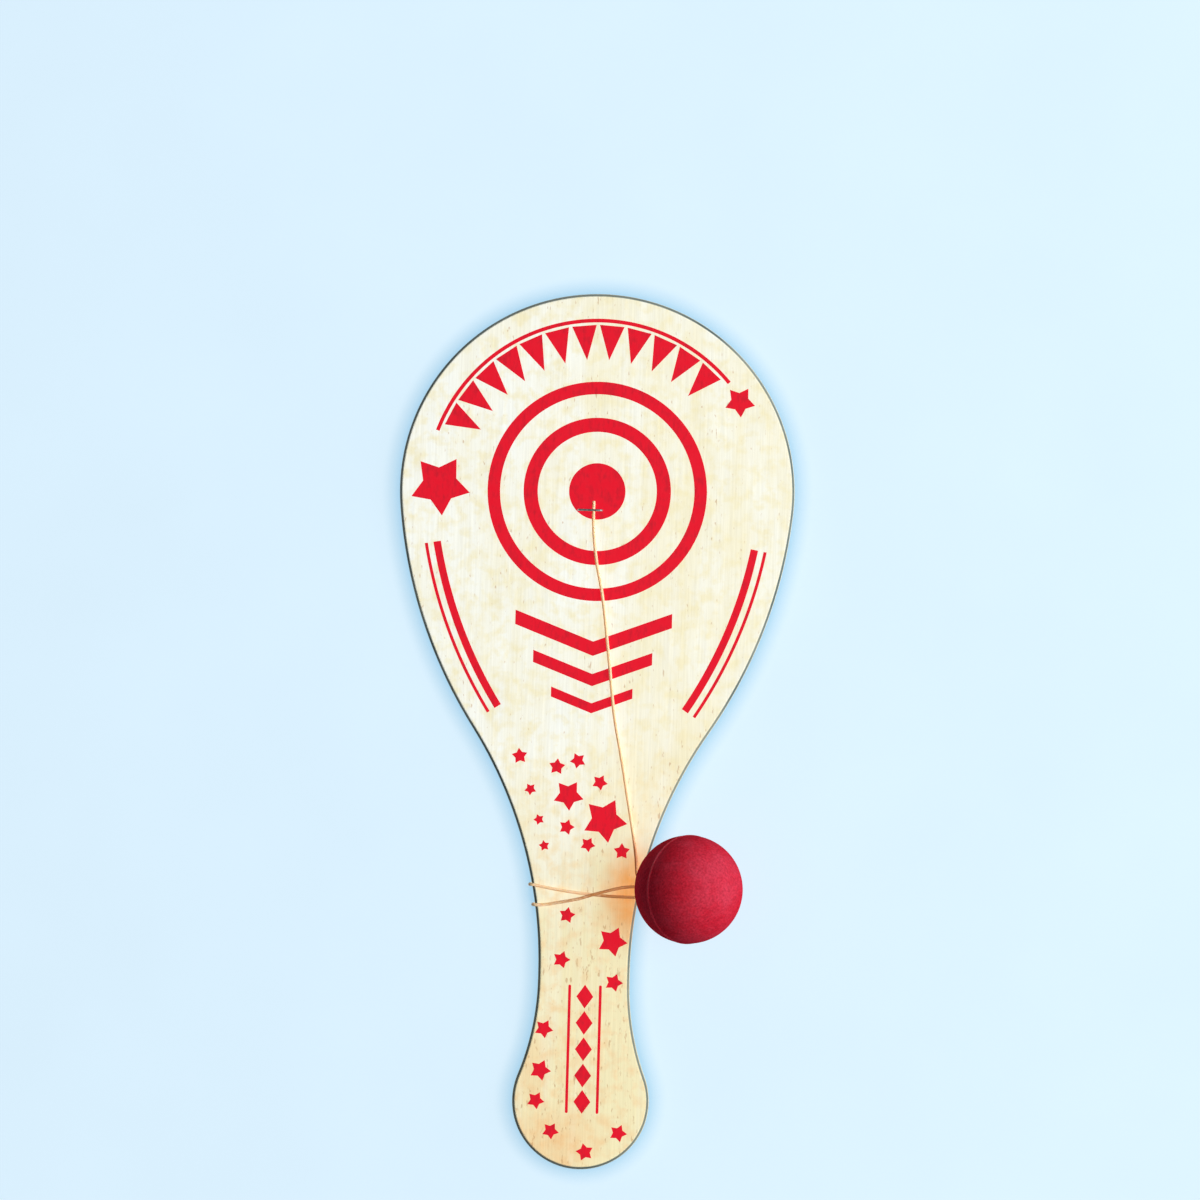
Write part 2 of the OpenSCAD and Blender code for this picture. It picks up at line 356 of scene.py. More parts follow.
def carve(part, cutter):
    """Cuts the cutter out of the part and removes the cutter."""
    only(part)
    cut = part.modifiers.new("Cut", "BOOLEAN")
    cut.object = cutter
    cut.operation = "DIFFERENCE"
    cut.solver = "EXACT"
    bpy.ops.object.modifier_apply(modifier=cut.name)
    bpy.data.objects.remove(cutter)


def shade(part, angle):
    """Smooth shading, except over edges sharper than that angle in degrees."""
    only(part)
    bpy.ops.object.shade_smooth_by_angle(angle=math.radians(angle))


def join(parts, name):
    """Joins the parts into one piece of that name."""
    fresh()
    for part in parts:
        part.select_set(True)
    bpy.context.view_layer.objects.active = parts[0]
    if len(parts) > 1:
        bpy.ops.object.join()
    made = bpy.context.view_layer.objects.active
    made.name = made.data.name = name
    return made


def finish_piece(part, body, material):
    """Gives a piece its finish and slot, and lets it ride on a body if one is named."""
    part.data.materials.clear()
    part.data.materials.append(material)
    if body:
        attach(part, body)
    return part


# Materials

def feed(tree, made, inputs):
    """Sets a node's inputs. They are values, or sockets or nodes to link from, and a node gives
    the first output that its settings leave in use."""
    for key, value in inputs.items():
        if isinstance(value, bpy.types.Node):
            value = next(output for output in value.outputs if output.enabled)
        if isinstance(value, bpy.types.NodeSocket):
            tree.links.new(value, made.inputs[key])
        else:
            made.inputs[key].default_value = value


def node(tree, kind, inputs=None, **settings):
    """Adds a node with its settings and inputs."""
    made = tree.nodes.new("ShaderNode" + kind)
    for key, value in settings.items():
        setattr(made, key, value)
    feed(tree, made, inputs or {})
    return made


def finish(name):
    """New material with its tree, shader and coordinates."""
    made = bpy.data.materials.new(name)
    made.use_nodes = True
    tree = made.node_tree
    return made, tree, tree.nodes["Principled BSDF"], node(tree, "TexCoord")


def per(size):
    """Texture scale for a pattern of that size in millimetres."""
    return 1 / (size * MM)


def veneer_grain(tree, at, along):
    """Nodes of a veneer's broad figure, fine fibres and flecks; the grain runs along axis 0 or 1."""

    def drawn_out(times):
        return tuple(1 / times if i == along else 1 for i in range(3))

    broad = node(tree, "Mapping", {"Vector": at, "Scale": drawn_out(14)})
    figure = node(tree, "TexNoise", {
        "Vector": broad, "Scale": per(9), "Detail": 4.0, "Roughness": 0.55, "Distortion": 0.6})
    fine = node(tree, "Mapping", {"Vector": at, "Scale": drawn_out(30)})
    # Fibres are finer than this in the real wood; drawn at 0.6 mm so that they show
    fibres = node(tree, "TexNoise", {
        "Vector": fine, "Scale": per(0.6), "Detail": 3.0, "Roughness": 0.6})
    short = node(tree, "Mapping", {"Vector": at, "Scale": drawn_out(3.5)})
    flecks = node(tree, "TexNoise", {
        "Vector": short, "Scale": per(0.8), "Detail": 2.0, "Roughness": 0.5})
    return figure, fibres, flecks


def veneer_hue(settings, tree, at, grain, down, blotch, pale, warm):
    """Bare wood, which is pale on the blade and warm on the handle, with streaks and mottle."""
    figure, _, flecks = grain
    # Paler on the left, warmer towards the right
    apart = node(tree, "SeparateXYZ", {0: at})
    across = node(tree, "MapRange", {
        "Value": apart.outputs["X"], "From Min": -45 * MM, "From Max": 45 * MM, "To Max": 0.42})
    warm_share = node(tree, "Math", {0: down, 1: across}, operation="ADD")
    uneven = node(tree, "MapRange", {
        "Value": blotch, **NOISE_RANGE, "To Min": -0.22, "To Max": 0.22})
    warmth = node(tree, "Math", {0: warm_share, 1: uneven}, operation="ADD", use_clamp=True)
    base = node(tree, "Mix", {"Factor": warmth, UNDER: pale, OVER: warm}, data_type="RGBA")
    streak = node(tree, "MapRange", {
        "Value": figure, "From Min": 0.42, "From Max": 0.72, "To Max": 0.42})
    streaked = node(tree, "Mix", {"Factor": streak, UNDER: base, OVER: warm}, data_type="RGBA")
    sap = node(tree, "MapRange", {"Value": figure, "From Min": 0.5, "From Max": 0.3, "To Max": 0.3})
    sappy = node(tree, "Mix", {"Factor": sap, UNDER: streaked, OVER: pale}, data_type="RGBA")
    # The mottle is yellow on the blade and turns orange towards the handle
    ruddy = node(tree, "Math", {0: down, 1: 0.42}, operation="MULTIPLY")
    spot_hue = node(tree, "Mix", {
        "Factor": ruddy, UNDER: warm, OVER: settings.stain_and_shade}, data_type="RGBA")
    mottle = node(tree, "TexNoise", {"Vector": at, "Scale": per(3.5), "Detail": 3.0})
    spotty = node(tree, "MapRange", {
        "Value": mottle, "From Min": 0.45, "From Max": 0.7, "To Max": 0.7})
    mottled = node(tree, "Mix", {"Factor": spotty, UNDER: sappy, OVER: spot_hue}, data_type="RGBA")
    stained_and_shaded = stain_and_ball_shade(settings, tree, at, mottled)
    # More flecks towards the handle
    level = node(tree, "MapRange", {"Value": down, "To Min": 0.82, "To Max": 0.765})
    bunch = node(tree, "Math", {0: blotch, 1: -0.25, 2: level}, operation="MULTIPLY_ADD")
    above = node(tree, "Math", {0: flecks, 1: bunch}, operation="SUBTRACT")
    speck = node(tree, "MapRange", {"Value": above, "From Max": 0.08, "To Max": 0.55})
    return node(tree, "Mix", {
        "Factor": speck, UNDER: stained_and_shaded, OVER: settings.fleck}, data_type="RGBA")


def stain_and_ball_shade(settings, tree, at, wood):
    """The wood with its stained places and the painted shadow of the ball, whose edges are soft and
    whose depth is patchy.
    """
    stain_or_shade_zone = 0.0
    for x, y, wide, high, most in STAINS_AND_BALL_SHADE:
        beside = node(tree, "Mapping", {
            "Vector": at, "Location": (-x * MM, -y * MM, 0), "Scale": (1, 1, 0)})
        shaped = node(tree, "VectorMath", {0: beside, 1: (per(wide), per(high), 0)},
                      operation="MULTIPLY")
        reach = node(tree, "VectorMath", {0: shaped}, operation="LENGTH")
        zone = node(tree, "MapRange", {
            "Value": reach, "From Min": 1.0, "From Max": 0.2, "To Max": most},
            interpolation_type="SMOOTHSTEP")
        stain_or_shade_zone = node(tree, "Math", {0: zone, 1: stain_or_shade_zone}, operation="MAXIMUM")
    cloud = node(tree, "TexNoise", {"Vector": at, "Scale": per(4), "Detail": 4.0})
    patchy = node(tree, "MapRange", {
        "Value": cloud, **NOISE_RANGE, "To Min": 0.72})
    stain_and_shade = node(tree, "Math", {0: stain_or_shade_zone, 1: patchy}, operation="MULTIPLY")
    return node(tree, "Mix", {"Factor": stain_and_shade, UNDER: wood, OVER: settings.stain_and_shade}, data_type="RGBA")


def veneer_edges(settings, tree, normal, along, blotch, wood):
    """The wood with its cut edges darker, and a painted dark grey shade along its rounded rim."""
    faces = node(tree, "SeparateXYZ", {0: normal})
    crossing = node(tree, "Math", {0: faces.outputs[along]}, operation="ABSOLUTE")
    upright = node(tree, "Math", {0: faces.outputs["Z"]}, operation="ABSOLUTE")
    # Cut edges are darker, most where they cross the grain
    edge = node(tree, "MapRange", {
        "Value": upright, "From Min": 0.75, "From Max": 0.2, "To Max": 0.45})
    end = node(tree, "Math", {0: crossing, 1: 0.4, 2: edge}, operation="MULTIPLY_ADD")
    darker = node(tree, "Math", {0: end, 1: edge}, operation="MULTIPLY", use_clamp=True)
    browned = node(tree, "Math", {0: darker, 1: 1.6}, operation="MULTIPLY", use_clamp=True)
    edged = node(tree, "Mix", {"Factor": browned, UNDER: wood, OVER: settings.core},
                 data_type="RGBA")
    # Painted shade: the rounded rim is painted a patchy dark grey, for the shade along the paddle's
    # edge
    upper = node(tree, "MapRange", {"Value": upright, "From Min": 0.995, "From Max": 0.92},
                 interpolation_type="SMOOTHSTEP")
    lower = node(tree, "MapRange", {"Value": upright, "From Min": 0.1, "From Max": 0.65},
                 interpolation_type="SMOOTHSTEP")
    rim = node(tree, "Math", {0: upper, 1: lower}, operation="MULTIPLY")
    patchy_rim_shade = node(tree, "MapRange", {
        "Value": blotch, "From Min": 0.35, "From Max": 0.65, "To Min": 1.0, "To Max": 0.85})
    rim_shaded = node(tree, "Math", {0: rim, 1: patchy_rim_shade}, operation="MULTIPLY")
    return node(tree, "Mix", {"Factor": rim_shaded, UNDER: edged, OVER: settings.rim_shade}, data_type="RGBA")


def veneer(settings, name, along, pale, warm):
    """Rotary-cut basswood or poplar veneer, sanded and left bare: pale, matt, with faint streaks
    along the grain, brown flecks, and darker end grain where a cut edge faces the grain."""
    made, tree, shader, coords = finish(name)
    at = coords.outputs["Object"]
    grain = veneer_grain(tree, at, along)
    _, fibres, flecks = grain
    apart = node(tree, "SeparateXYZ", {0: at})
    down = node(tree, "MapRange", {
        "Value": apart.outputs["Y"], "From Min": 10 * MM, "From Max": -90 * MM},
        interpolation_type="SMOOTHSTEP")
    blotch = node(tree, "TexNoise", {"Vector": at, "Scale": per(22), "Detail": 3.0})
    wood = veneer_hue(settings, tree, at, grain, down, blotch, pale, warm)
    fibre_tone = node(tree, "MapRange", {
        "Value": fibres, **NOISE_RANGE, "To Min": 0.94, "To Max": 1.04})
    fibrous = node(tree, "VectorMath", {0: wood, "Scale": fibre_tone}, operation="SCALE")
    edged = veneer_edges(settings, tree, coords.outputs["Normal"], along, blotch, fibrous)
    rough = node(tree, "MapRange", {
        "Value": fibres, **NOISE_RANGE, "To Min": 0.58, "To Max": 0.74})
    height = node(tree, "Math", {0: flecks, 1: -0.35, 2: fibres}, operation="MULTIPLY_ADD")
    bump = node(tree, "Bump", {"Height": height, "Strength": 0.45, "Distance": 0.06 * MM})
    feed(tree, shader, {
        "Base Color": edged, "Roughness": rough, "Normal": bump, "IOR": 1.5,
        "Specular IOR Level": 0.3})
    return made


def printed_ink(settings):
    """Screen-printed ink on bare veneer: a thin satin film that lets the grain telegraph through,
    darker where it sank into flecks."""
    made, tree, shader, coords = finish("screen_printed_red_ink")
    at = coords.outputs["Object"]
    _, fibres, flecks = veneer_grain(tree, at, 1)
    mottle = node(tree, "TexNoise", {"Vector": at, "Scale": per(2.6), "Detail": 4.0})
    mixed = node(tree, "Math", {0: flecks, 1: mottle}, operation="ADD")
    sunk = node(tree, "MapRange", {
        "Value": mixed, "From Min": 0.98, "From Max": 1.35, "To Max": 0.7})
    base = node(tree, "Mix", {
        "Factor": sunk, UNDER: settings.ink, OVER: settings.ink_dark}, data_type="RGBA")
    rough = node(tree, "MapRange", {
        "Value": mottle, **NOISE_RANGE, "To Min": 0.42, "To Max": 0.56})
    bump = node(tree, "Bump", {"Height": fibres, "Strength": 0.3, "Distance": 0.05 * MM})
    feed(tree, shader, {
        "Base Color": base, "Roughness": rough, "Normal": bump, "IOR": 1.5,
        "Specular IOR Level": 0.2})
    return made


def latex(settings, name, worn, dusty, reach):
    """Extruded natural latex thread, dusted with talc so that it doesn't stick: tan, a little
    translucent, with paler powdery patches and a dull surface. Next to the ball the thread is painted
    darker, a painted shadow of the ball as deep as worn; from the given reach on its powder is set by
    dusty."""
    made, tree, shader, coords = finish(name)
    at = coords.outputs["Object"]
    patch = node(tree, "TexNoise", {
        "Vector": at, "Scale": per(1.4), "Detail": 5.0, "Roughness": 0.65})
    shade_x, shade_y = BALL_SHADE_AT
    beside = node(tree, "Mapping", {
        "Vector": at, "Location": (-shade_x * MM, -shade_y * MM, 0), "Scale": (1, 1, 0)})
    off = node(tree, "VectorMath", {0: beside}, operation="LENGTH")
    dust_and_shade = node(tree, "MapRange", {
        "Value": off, "From Min": BALL_SHADE_REACH, "From Max": reach, "To Min": worn,
        "To Max": dusty})
    powder = node(tree, "Math", {0: patch, 1: dust_and_shade}, operation="ADD")
    dust = node(tree, "MapRange", {
        "Value": powder, "From Min": 0.2, "From Max": 0.75, "To Max": 0.95})
    base = node(tree, "Mix", {
        "Factor": dust, UNDER: settings.latex, OVER: settings.latex_dusty}, data_type="RGBA")
    rough = node(tree, "MapRange", {"Value": dust, "To Min": 0.48, "To Max": 0.8})
    grit = node(tree, "TexNoise", {"Vector": at, "Scale": per(0.25), "Detail": 2.0})
    bump = node(tree, "Bump", {"Height": grit, "Strength": 0.35, "Distance": 0.03 * MM})
    feed(tree, shader, {
        "Base Color": base, "Roughness": rough, "Normal": bump, "IOR": 1.52,
        "Subsurface Weight": 1.0, "Subsurface Radius": (1.0, 0.8, 0.6),
        "Subsurface Scale": 1.6 * MM})
    return made


def rubber(settings):
    """Compression-moulded rubber: crimson right through, with a fine mould texture, a paler bloom in
    patches, and a soft broad painted highlight in the paler colour on the side towards the key light."""
    made, tree, shader, coords = finish("moulded_crimson_rubber")
    at = coords.outputs["Object"]
    off = node(tree, "VectorMath", {0: at, 1: BALL_AT}, operation="SUBTRACT")
    # Painted highlight: the paler bloom colour is laid on most on the side towards the key light
    patch = node(tree, "TexNoise", {
        "Vector": at, "Scale": per(7), "Detail": 5.0, "Roughness": 0.7})
    facing = node(tree, "VectorMath", {0: off, 1: HIGHLIGHT_TOWARDS}, operation="DOT_PRODUCT")
    painted_highlight = node(tree, "MapRange", {
        "Value": facing, "From Min": BALL_R * 0.68, "From Max": BALL_R, "To Max": 0.24},
        interpolation_type="SMOOTHSTEP")
    more = node(tree, "Math", {0: patch, 1: painted_highlight}, operation="ADD")
    bloom_and_highlight = node(tree, "MapRange", {"Value": more, "From Min": 0.4, "From Max": 0.8, "To Max": 0.9})
    bloomed_and_highlighted = node(tree, "Mix", {
        "Factor": bloom_and_highlight, UNDER: settings.rubber, OVER: settings.bloom_and_highlight_colour}, data_type="RGBA")
    # Paler along the seam, more on its upper half: trimmed flash, and a painted highlight on the
    # seam's ridge
    lean = (math.sin(settings.seam_lean), 0, math.cos(settings.seam_lean))
    level = node(tree, "VectorMath", {0: off, 1: lean}, operation="DOT_PRODUCT")
    away = node(tree, "Math", {0: level}, operation="ABSOLUTE")
    trimmed_and_highlighted = node(tree, "MapRange", {
        "Value": away, "From Min": settings.seam_width * 0.5,
        "From Max": settings.seam_width * 0.15, "To Max": 0.6})
    half = node(tree, "SeparateXYZ", {0: off})
    more_on_upper_half = node(tree, "MapRange", {
        "Value": half.outputs["Y"], "From Min": -BALL_R * 0.3, "From Max": BALL_R * 0.4,
        "To Min": 0.25})
    paler = node(tree, "Math", {0: trimmed_and_highlighted, 1: more_on_upper_half}, operation="MULTIPLY")
    base = node(tree, "Mix", {
        "Factor": paler, UNDER: bloomed_and_highlighted, OVER: settings.trimmed_and_highlighted}, data_type="RGBA")
    grain = node(tree, "TexNoise", {"Vector": at, "Scale": per(0.7), "Detail": 3.0})
    speck = node(tree, "MapRange", {
        "Value": grain, **NOISE_RANGE, "To Min": 0.75, "To Max": 1.2})
    toned = node(tree, "VectorMath", {0: base, "Scale": speck}, operation="SCALE")
    rough = node(tree, "MapRange", {
        "Value": patch, **NOISE_RANGE, "To Min": 0.44, "To Max": 0.56})
    bump = node(tree, "Bump", {"Height": grain, "Strength": 0.6, "Distance": 0.12 * MM})
    feed(tree, shader, {
        "Base Color": toned, "Roughness": rough, "Normal": bump, "IOR": 1.52,
        "Specular IOR Level": 0.0})
    return made


def steel_wire(settings):
    """Drawn steel wire with a thin zinc coat: bright, with faint patches and fine scratches."""
    made, tree, shader, coords = finish("galvanised_steel_wire")
    at = coords.outputs["Object"]
    patch = node(tree, "TexNoise", {"Vector": at, "Scale": per(0.8), "Detail": 4.0})
    tone = node(tree, "MapRange", {
        "Value": patch, **NOISE_RANGE, "To Min": 0.82, "To Max": 1.05})
    base = node(tree, "VectorMath", {0: settings.steel[:3], "Scale": tone}, operation="SCALE")
    rough = node(tree, "MapRange", {
        "Value": patch, **NOISE_RANGE, "To Min": 0.24, "To Max": 0.42})
    drawn = node(tree, "Mapping", {"Vector": at, "Scale": (0.06, 1, 1)})
    lines = node(tree, "TexNoise", {"Vector": drawn, "Scale": per(0.12)})
    bump = node(tree, "Bump", {"Height": lines, "Strength": 0.3, "Distance": 0.01 * MM})
    feed(tree, shader, {
        "Base Color": base, "Roughness": rough, "Normal": bump, "Metallic": 1.0})
    return made


def light_table(settings):
    """Opal acrylic sheet, sanded matt and lit from below, so that shadows on it stay faint."""
    made, tree, shader, coords = finish("opal_acrylic_sheet")
    mottle = node(tree, "TexNoise", {
        "Vector": coords.outputs["Object"], "Scale": per(60), "Detail": 3.0})
    tone = node(tree, "MapRange", {
        "Value": mottle, **NOISE_RANGE, "To Min": 0.99, "To Max": 1.01})
    # Painted contact shadow: the table is painted a deeper blue close beside the paddle and the ball,
    # where ambient occlusion finds them
    open_sky = node(tree, "AmbientOcclusion", {"Distance": settings.shade_reach}, samples=16)
    shaded = node(tree, "MapRange", {
        "Value": open_sky.outputs["AO"], "From Min": 0.98, "From Max": 0.5})
    hue = node(tree, "Mix", {
        "Factor": shaded, UNDER: settings.floor, OVER: settings.shade}, data_type="RGBA")
    for socket, share in (("Base Color", 1 - settings.glow), ("Emission Color", settings.glow)):
        part = node(tree, "Math", {0: tone, 1: share}, operation="MULTIPLY")
        toned = node(tree, "VectorMath", {0: hue, "Scale": part}, operation="SCALE")
        feed(tree, shader, {socket: toned})
    feed(tree, shader, {"Emission Strength": 1.0, "Roughness": 0.9, "Specular IOR Level": 0.1})
    return made


# Lines of the paddle

def outline_centres(s):
    """Centres and radii of the outline's curves on the right, each tangent to the next."""
    head = Vector((0, PADDLE_TOP - s.head_radius))
    knob = Vector((0, PADDLE_FOOT + s.knob_radius))
    half_neck = s.neck_width / 2
    neck_foot = PADDLE_FOOT + s.neck_foot
    neck_top = neck_foot + s.neck_length
    inward = Vector((math.cos(s.side_start), -math.sin(s.side_start)))
    side = head - (s.side_radius - s.head_radius) * inward
    dx = half_neck - side.x
    dy = side.y - neck_top
    shoulder_r = (dx * dx + dy * dy - s.side_radius ** 2) / (2 * (s.side_radius - dx))
    rise = neck_foot - knob.y
    grip_r = (half_neck ** 2 + rise ** 2 - s.knob_radius ** 2) / (2 * (s.knob_radius - half_neck))
    return {
        "head": (head, s.head_radius),
        "side": (side, s.side_radius),
        "shoulder": (Vector((half_neck + shoulder_r, neck_top)), shoulder_r),
        "grip": (Vector((half_neck + grip_r, neck_foot)), grip_r),
        "knob": (knob, s.knob_radius),
    }


def neck_edge(s, y):
    """Half the width of the neck and shoulder at height y."""
    centre, radius = outline_centres(s)["shoulder"]
    return centre.x - math.sqrt(radius ** 2 - max(y - centre.y, 0) ** 2)


def paddle_outline(s, level):
    """Closed outline of the paddle, drawn down its right side and mirrored."""
    curves = outline_centres(s)

    def bearing(start, end):
        a = curves[start][0]
        b = curves[end][0]
        return math.atan2(b.y - a.y, b.x - a.x)

    turns = [
        ("head", math.pi / 2 + s.side_start),
        ("side", -s.side_start - bearing("side", "shoulder")),
        ("shoulder", bearing("side", "shoulder")),
        ("neck", None),
        ("grip", -math.pi - bearing("grip", "knob")),
        ("knob", bearing("knob", "grip") + math.pi / 2),
    ]
    fresh()
    bpy.ops.mesh.primitive_plane_add(size=MM, location=(0, PADDLE_TOP, level))
    blank = settle(bpy.context.object)
    pick_all(blank, "VERT")
    bpy.ops.mesh.merge(type="CENTER")
    for curve, angle in turns:
        if angle is None:
            push(0, -s.neck_length, 0)
            continue
        centre, radius = curves[curve]
        steps = math.ceil(abs(angle) / (2 * math.acos(1 - s.facet / radius)))
        bpy.ops.mesh.spin(steps=steps, angle=angle, center=(*centre, level), axis=(0, 0, 1))
    bpy.ops.mesh.select_all(action="SELECT")
    bpy.ops.mesh.duplicate()
    bpy.ops.transform.resize(value=(-1, 1, 1), center_override=(0, 0, level))
    bpy.ops.mesh.select_all(action="SELECT")
    bpy.ops.mesh.remove_doubles(threshold=TOUCH)
    bpy.ops.mesh.edge_face_add()
    return blank


def drill(part, s):
    """Drills the two holes of the staple's legs through a part."""
    reach = (s.width - s.wire) / 2
    play = 0.05 * MM
    for way in (-1, 1):
        fresh()
        bpy.ops.mesh.primitive_cylinder_add(
            vertices=24, radius=s.wire / 2 + play, depth=12 * MM,
            location=(-s.middle_x + way * reach, s.height, (BACK_Z + FRONT_Z) / 2))
        carve(part, settle(bpy.context.object))


# Routes of the thread

def smooth(points, steps):
    """Curve through the points, with even steps between them."""
    made = []
    last = len(points) - 1
    for i in range(last):
        a, b, c, d = (points[min(max(i + k, 0), last)] for k in (-1, 0, 1, 2))
        for k in range(steps):
            t = k / steps
            made.append((2 * b + (c - a) * t + (2 * a - 5 * b + 4 * c - d) * t * t
                         + (3 * b - a - 3 * c + d) * t ** 3) / 2)
    return made + [points[-1]]


def wound_route(paddle, thread):
    """Route of the thread from its free end, down the blade and round the neck."""
    half = thread.thickness / 2
    seat = half + THREAD_GAP
    corner = THREAD_BEND - seat
    low = BACK_Z + corner
    high = FRONT_Z - corner
    step = Vector((thread.thickness, 0, 0))

    def bend(x, y, z, start, end):
        angles = [math.radians(start + (end - start) * i / BEND_STEPS)
                  for i in range(BEND_STEPS + 1)]
        return [Vector((x + THREAD_BEND * math.cos(a), y, z + THREAD_BEND * math.sin(a)))
                for a in angles]

    def crossing(start, end, bow):
        return [start + (end - start) * k - Vector((0, 4 * bow * k * (1 - k), 0))
                for k in (i / PASS_STEPS for i in range(1, PASS_STEPS))]

    turns = []
    for i, height in enumerate(TURN_HEIGHTS):
        y = height * MM
        x = neck_edge(paddle, y) - corner
        if i % 2 == 0:
            turns.append(bend(x, y, high, 90, 0) + bend(x, y, low, 0, -90))
        else:
            turns.append(bend(-x, y, low, -90, -180) + bend(-x, y, high, 180, 90))
    wound = [turns[0][0] - step] + turns[0]
    for before, after, bow in ((0, 1, 0), (1, 2, FRONT_BOW), (2, 3, 0)):
        wound += crossing(turns[before][-1], turns[after][0], bow) + turns[after]
    wound.append(turns[3][-1] + step)
    lying = Vector((0, 0, FRONT_Z + seat))
    face = [Vector((x, y, 0)) * MM + lying for x, y in FACE_ROUTE]
    # What lies behind the paddle is pressed flat on the surface, and no lower
    return [Vector((p.x, p.y, max(p.z, half)))
            for p in smooth(face + [wound[0]], ROUTE_STEPS) + wound[1:]]


def strand_line(route_end, thread):
    """Route of the strand from the end of the winding, over the front turn, to the last edge."""
    lying = FRONT_Z + thread.thickness / 2 + THREAD_GAP
    start = [route_end - Vector((thread.thickness / 2, 0, 0)),
             route_end + Vector((STRAND_START, 0, 0))]
    middle = [Vector((x * MM, y * MM, lying + lift * MM)) for x, y, lift in STRAND_ROUTE]
    end = [EXIT_AT - Vector((LEAD_START, 0, 0)), EXIT_AT - Vector((LEAD_END, 0, 0))]
    return smooth(start + middle + end, ROUTE_STEPS)


def knot_line(start):
    """Route of the thread's end inside the ball: straight in, and two loops of the knot."""
    knot_r = 0.8 * MM
    knot_length = 2.0 * MM
    loops = 2
    steps = 36
    side = Vector((0, 1, 0))
    up = TO_BALL.cross(side)
    first = BALL_AT - TO_BALL * knot_length / 2
    line = [start]
    for i in range(steps + 1):
        angle = 2 * math.pi * loops * i / steps
        around = math.sin(angle) * side + (1 - math.cos(angle)) * up * 0.5
        line.append(first + TO_BALL * (knot_length * i / steps) + knot_r * around)
    return line


def drawn_shares(route, staple_y):
    """Share of the full thickness at each point. The staple pinches the thread, and a drawn thread
    is never quite even."""
    pinch = 0.12
    pinch_reach = 0.8 * MM
    uneven = 0.025
    made = []
    for i, place in enumerate(route):
        pinched = pinch * math.exp(-((place.y - staple_y) / pinch_reach) ** 2)
        waves = math.sin(i * 0.37) * math.sin(i * 0.11)
        made.append((1 - pinched) * (1 + uneven * waves))
    return made


def tube(name, points, radius, shares=None):
    """Round tube along the points, as a curve of one open spline."""
    data = bpy.data.curves.new(name, "CURVE")
    data.dimensions = "3D"
    data.bevel_depth = radius
    data.bevel_resolution = 3
    data.use_fill_caps = True
    line = data.splines.new("POLY")
    line.points.add(len(points) - 1)
    for i, (point, place) in enumerate(zip(line.points, points)):
        point.co = (*place, 1)
        point.radius = shares[i] if shares else 1
    made = bpy.data.objects.new(name, data)
    bpy.context.scene.collection.objects.link(made)
    return made


def as_mesh(part):
    """Turns a curve into a mesh with smooth sides and flat ends."""
    only(part)
    bpy.ops.object.convert(target="MESH")
    part = bpy.context.view_layer.objects.active
    shade(part, 50)
    return part


# Flat printed shapes, given in millimetres and degrees

def regular(s, corners, radius, y=0):
    """Flat shape with equal sides, on the centre line at the lower side of the ink, in metres."""
    fresh()
    bpy.ops.mesh.primitive_circle_add(vertices=corners, radius=radius, fill_type="NGON",
                                      location=(0, y, FRONT_Z - s.soak))
    return bpy.context.object


def square(s, size, x=0, y=0):
    """Flat square at the lower side of the ink, in metres."""
    fresh()
    bpy.ops.mesh.primitive_plane_add(size=size, location=(x, y, FRONT_Z - s.soak))
    return bpy.context.object


def film_up(part, s):
    """Thickens a flat shape into a film of ink."""
    settle(part)
    pick_all(part)
    push(0, 0, s.film + s.soak)
    return outward(part)


def copies(part, places):
    """Copies of a printed shape in its stead, each with its own mesh, at each x, y, size and turn."""
    made = []
    for x, y, size, lean in places:
        only(part)
        bpy.ops.object.duplicate(linked=False)
        copy = bpy.context.view_layer.objects.active
        copy.location = (x * MM, y * MM, 0)
        copy.rotation_euler.z = math.radians(lean)
        copy.scale = (size, size, 1)
        made.append(settle(copy))
    bpy.data.objects.remove(part)
    return made


def to_line(part, axis):
    """Narrows a flat square to one line along that axis, and selects it."""
    pick(part, "EDGE", lambda a, b: abs(a[axis] - b[axis]) < TOUCH)
    bpy.ops.mesh.merge(type="COLLAPSE")
    bpy.ops.mesh.select_all(action="SELECT")


def disc(s, y, radius, hole):
    """Printed disc, or a ring if it has a hole."""
    part = settle(regular(s, 96, radius * MM, y * MM))
    if hole:
        pick_all(part)
        bpy.ops.mesh.inset(thickness=(radius - hole) * MM)
        bpy.ops.mesh.delete(type="FACE")
    return film_up(part, s)


def sweep(s, centre, near, far, start, end):
    """Printed stripe along an arc from one angle to another; its centre and radii are in metres."""
    angle = math.radians(start)
    middle = (near + far) / 2
    at = centre + middle * Vector((math.cos(angle), math.sin(angle)))
    part = square(s, far - near, *at)
    to_line(part, 0)
    bpy.ops.transform.rotate(value=-angle, orient_axis="Z", center_override=(*at, FRONT_Z))
    arc = math.radians(start - end)
    facet = 1.5 * MM
    bpy.ops.mesh.spin(steps=max(8, int(abs(arc) * far / facet)), angle=arc,
                      center=(*centre, FRONT_Z), axis=(0, 0, 1))
    return film_up(part, s)


def star(s):
    """Printed five-pointed star with a radius of one millimetre."""
    part = regular(s, 10, MM)
    inner = [v.co.copy() for v in part.data.vertices][1::2]
    pick(part, "VERT", lambda p: any((p - q).length < TOUCH for q in inner))
    bpy.ops.transform.resize(value=(s.star_inner, s.star_inner, 1), center_override=part.location)
    return film_up(part, s)


def diamond(s, across, along):
    """Printed diamond."""
    part = regular(s, 4, MM)
    part.scale = (across / 2, along / 2, 1)
    return film_up(part, s)


def rule(s, across, along):
    """Printed straight stripe with round ends."""
    part = square(s, MM)
    part.scale = (across, along, 1)
    settle(part)
    pick_all(part, "VERT")
    bpy.ops.mesh.bevel(offset=across * 0.495 * MM, segments=6, affect="VERTICES")
    return film_up(part, s)


